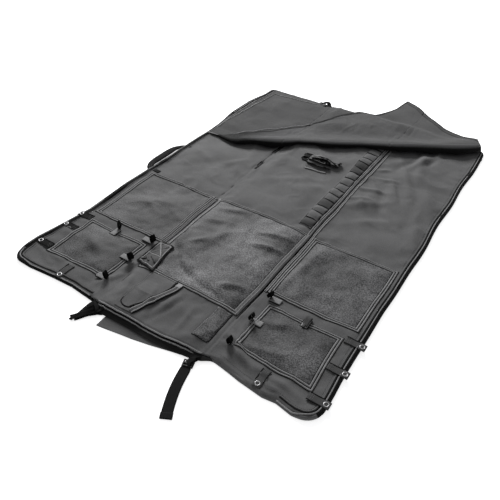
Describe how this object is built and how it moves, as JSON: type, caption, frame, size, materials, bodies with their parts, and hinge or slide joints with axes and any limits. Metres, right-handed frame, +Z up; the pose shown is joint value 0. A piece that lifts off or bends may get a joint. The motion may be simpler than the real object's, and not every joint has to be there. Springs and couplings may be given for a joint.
{
  "type": "fold-out padded bag mat",
  "caption": "Padded soft case laid open as a flat mat: centre panel and two fold-over wings with grip panels, eyelet tabs, ladder webbing, a turned-back cover and loose straps.",
  "frame": {"origin": "on the underside face, on the ground, under the middle fold-to-fold line and 650 mm in from the far edge, close to the middle of the open mat", "axes": "+X to the right wing, +Y from the near edge with the loose strap to the far edge with the cover, +Z up"},
  "size_m": [0.945, 1.7384, 0.0315],
  "materials": {
    "shell_fabric": "coated woven nylon",
    "liner_fabric": "fine plain-weave nylon",
    "cover_fabric": "thin plain-weave nylon",
    "flap_fabric": "thin plain-weave nylon",
    "foam": "closed-cell foam padding",
    "grip": "pebbled non-slip mesh",
    "binding": "grosgrain tape",
    "webbing": "woven webbing",
    "eyelet_tab": "woven webbing with a nickel eyelet",
    "ladder": "woven webbing",
    "strap": "woven webbing",
    "handle": "padded ribbed webbing",
    "hook_loop": "hook-and-loop pile",
    "zipper": "coil zipper and piping",
    "slider": "satin black",
    "buckle": "moulded acetal"
  },
  "bodies": {
    "mat_centre": {"under_pouch": "shell_fabric", "centre_outer_shell": "shell_fabric", "centre_foam_pad": "foam", "centre_liner": "liner_fabric", "centre_grip": "grip", "near_zipper": "zipper", "ladder_webbing": "ladder", "slip_pocket": "liner_fabric", "buckle_patch": "webbing", "buckle_webbing": "webbing", "buckle_socket": "buckle", "anchor_patch": "ladder", "hook_loop_strip": "hook_loop", "strap_bundle": "webbing", "strap_tail": "strap", "cover_base_centre": "cover_fabric"},
    "left_wing": {"left_outer_shell": "shell_fabric", "left_foam_pad": "foam", "left_liner": "liner_fabric", "left_edge_zipper": "zipper", "left_upper_grip": "grip", "left_lower_grip": "grip", "left_grip_bindings": "binding", "cover_base_left": "cover_fabric", "handle_anchors": "webbing", "far_edge_buckle": "buckle"},
    "right_wing": {"right_outer_shell": "shell_fabric", "right_foam_pad": "foam", "right_liner": "liner_fabric", "right_edge_zipper": "zipper", "right_upper_grip": "grip", "right_lower_grip": "grip", "right_grip_bindings": "binding", "cover_base_right": "cover_fabric"},
    "cover_centre": {"cover_turned_centre": "cover_fabric"},
    "cover_left": {"cover_turned_left": "cover_fabric"},
    "cover_right": {"cover_turned_right": "cover_fabric"},
    "left_outer_tab_body_1": {"left_outer_tab_1": "eyelet_tab"},
    "left_inner_tab_body_1": {"left_inner_tab_1": "webbing"},
    "left_outer_tab_body_2": {"left_outer_tab_2": "eyelet_tab"},
    "left_inner_tab_body_2": {"left_inner_tab_2": "webbing"},
    "left_outer_tab_body_3": {"left_outer_tab_3": "eyelet_tab"},
    "left_inner_tab_body_3": {"left_inner_tab_3": "webbing"},
    "left_near_tab_body": {"left_near_tab": "eyelet_tab"},
    "left_top_tab_body": {"left_top_tab": "webbing"},
    "right_outer_tab_body_1": {"right_outer_tab_1": "eyelet_tab"},
    "right_inner_tab_body_1": {"right_inner_tab_1": "webbing"},
    "right_outer_tab_body_2": {"right_outer_tab_2": "eyelet_tab"},
    "right_inner_tab_body_2": {"right_inner_tab_2": "webbing"},
    "right_outer_tab_body_3": {"right_outer_tab_3": "eyelet_tab"},
    "right_inner_tab_body_3": {"right_inner_tab_3": "webbing"},
    "right_near_tab_body": {"right_near_tab": "eyelet_tab"},
    "right_top_tab_body": {"right_top_tab": "webbing"},
    "handle": {"carry_handle": "handle"},
    "flap": {"pouch_flap": "flap_fabric"},
    "plug": {"buckle_plug": "buckle"},
    "adjuster": {"strap_adjuster": "buckle"},
    "left_slider": {"left_zip_slider": "slider"},
    "right_slider": {"right_zip_slider": "slider"},
    "near_slider": {"near_zip_slider": "slider"}
  },
  "joints": [
    {"name": "left_wing_fold", "type": "hinge", "parent": "mat_centre", "child": "left_wing", "pos_m": [-0.16, 0, 0.032], "axis": [0, -1, 0], "range_deg": [-180, 0]},
    {"name": "right_wing_fold", "type": "hinge", "parent": "mat_centre", "child": "right_wing", "pos_m": [0.16, 0, 0.053], "axis": [0, 1, 0], "range_deg": [-180, 0]},
    {"name": "cover_fold", "type": "hinge", "parent": "mat_centre", "child": "cover_centre", "pos_m": [-0.44, 0.177, 0.0242], "axis": [0.885, 0.4656, 0], "range_deg": [0, 150]},
    {"name": "cover_fold_left", "type": "hinge", "parent": "left_wing", "child": "cover_left", "pos_m": [-0.44, 0.177, 0.0242], "axis": [0.885, 0.4656, 0], "range_deg": [0, 150]},
    {"name": "cover_fold_right", "type": "hinge", "parent": "right_wing", "child": "cover_right", "pos_m": [-0.44, 0.177, 0.0242], "axis": [0.885, 0.4656, 0], "range_deg": [0, 150]},
    {"name": "left_outer_tab_lift_1", "type": "hinge", "parent": "left_wing", "child": "left_outer_tab_body_1", "pos_m": [-0.4, -0.438, 0.0135], "axis": [0, 1, 0], "range_deg": [0, 150]},
    {"name": "left_inner_tab_lift_1", "type": "hinge", "parent": "left_wing", "child": "left_inner_tab_body_1", "pos_m": [-0.1965, -0.422, 0.0104], "axis": [0, -1, 0], "range_deg": [0, 60]},
    {"name": "left_outer_tab_lift_2", "type": "hinge", "parent": "left_wing", "child": "left_outer_tab_body_2", "pos_m": [-0.4, -0.498, 0.0135], "axis": [0, 1, 0], "range_deg": [0, 150]},
    {"name": "left_inner_tab_lift_2", "type": "hinge", "parent": "left_wing", "child": "left_inner_tab_body_2", "pos_m": [-0.1965, -0.511, 0.0104], "axis": [0, -1, 0], "range_deg": [0, 60]},
    {"name": "left_outer_tab_lift_3", "type": "hinge", "parent": "left_wing", "child": "left_outer_tab_body_3", "pos_m": [-0.4, -0.589, 0.0135], "axis": [0, 1, 0], "range_deg": [0, 150]},
    {"name": "left_inner_tab_lift_3", "type": "hinge", "parent": "left_wing", "child": "left_inner_tab_body_3", "pos_m": [-0.1965, -0.6, 0.0104], "axis": [0, -1, 0], "range_deg": [0, 60]},
    {"name": "left_near_tab_lift", "type": "hinge", "parent": "left_wing", "child": "left_near_tab_body", "pos_m": [-0.3, -0.611, 0.0135], "axis": [-1, 0, 0], "range_deg": [0, 150]},
    {"name": "left_top_tab_lift", "type": "hinge", "parent": "left_wing", "child": "left_top_tab_body", "pos_m": [-0.305, -0.436, 0.0104], "axis": [1, 0, 0], "range_deg": [0, 60]},
    {"name": "right_outer_tab_lift_1", "type": "hinge", "parent": "right_wing", "child": "right_outer_tab_body_1", "pos_m": [0.4, -0.438, 0.0135], "axis": [0, -1, 0], "range_deg": [0, 150]},
    {"name": "right_inner_tab_lift_1", "type": "hinge", "parent": "right_wing", "child": "right_inner_tab_body_1", "pos_m": [0.1965, -0.422, 0.0104], "axis": [0, 1, 0], "range_deg": [0, 60]},
    {"name": "right_outer_tab_lift_2", "type": "hinge", "parent": "right_wing", "child": "right_outer_tab_body_2", "pos_m": [0.4, -0.53, 0.0135], "axis": [0, -1, 0], "range_deg": [0, 150]},
    {"name": "right_inner_tab_lift_2", "type": "hinge", "parent": "right_wing", "child": "right_inner_tab_body_2", "pos_m": [0.1965, -0.511, 0.0104], "axis": [0, 1, 0], "range_deg": [0, 60]},
    {"name": "right_outer_tab_lift_3", "type": "hinge", "parent": "right_wing", "child": "right_outer_tab_body_3", "pos_m": [0.4, -0.622, 0.0135], "axis": [0, -1, 0], "range_deg": [0, 150]},
    {"name": "right_inner_tab_lift_3", "type": "hinge", "parent": "right_wing", "child": "right_inner_tab_body_3", "pos_m": [0.1965, -0.6, 0.0104], "axis": [0, 1, 0], "range_deg": [0, 60]},
    {"name": "right_near_tab_lift", "type": "hinge", "parent": "right_wing", "child": "right_near_tab_body", "pos_m": [0.3, -0.611, 0.0135], "axis": [-1, 0, 0], "range_deg": [0, 150]},
    {"name": "right_top_tab_lift", "type": "hinge", "parent": "right_wing", "child": "right_top_tab_body", "pos_m": [0.305, -0.436, 0.0104], "axis": [1, 0, 0], "range_deg": [0, 60]},
    {"name": "handle_lift", "type": "hinge", "parent": "left_wing", "child": "handle", "pos_m": [-0.451, -0.0385, 0.005], "axis": [0, 1, 0], "range_deg": [0, 110]},
    {"name": "flap_lift", "type": "hinge", "parent": "mat_centre", "child": "flap", "pos_m": [0, -0.678, 0.0006], "axis": [-1, 0, 0], "range_deg": [0, 60]},
    {"name": "plug_release", "type": "slide", "parent": "mat_centre", "child": "plug", "axis": [1, 0, 0], "range_m": [0, 0.03]},
    {"name": "adjuster_slide", "type": "slide", "parent": "mat_centre", "child": "adjuster", "axis": [0.2689, -0.9632, 0], "range_m": [0, 0.1]},
    {"name": "left_zip_slide", "type": "slide", "parent": "left_wing", "child": "left_slider", "axis": [0, 1, 0], "range_m": [0, 0.5]},
    {"name": "right_zip_slide", "type": "slide", "parent": "right_wing", "child": "right_slider", "axis": [0, -1, 0], "range_m": [0, 1.17]},
    {"name": "near_zip_slide", "type": "slide", "parent": "mat_centre", "child": "near_slider", "axis": [1, 0, 0], "range_m": [0, 0.23]}
  ],
  "couplings": [
    {"joint": "cover_fold_left", "follows": "cover_fold", "ratio": 1},
    {"joint": "cover_fold_right", "follows": "cover_fold", "ratio": 1}
  ]
}
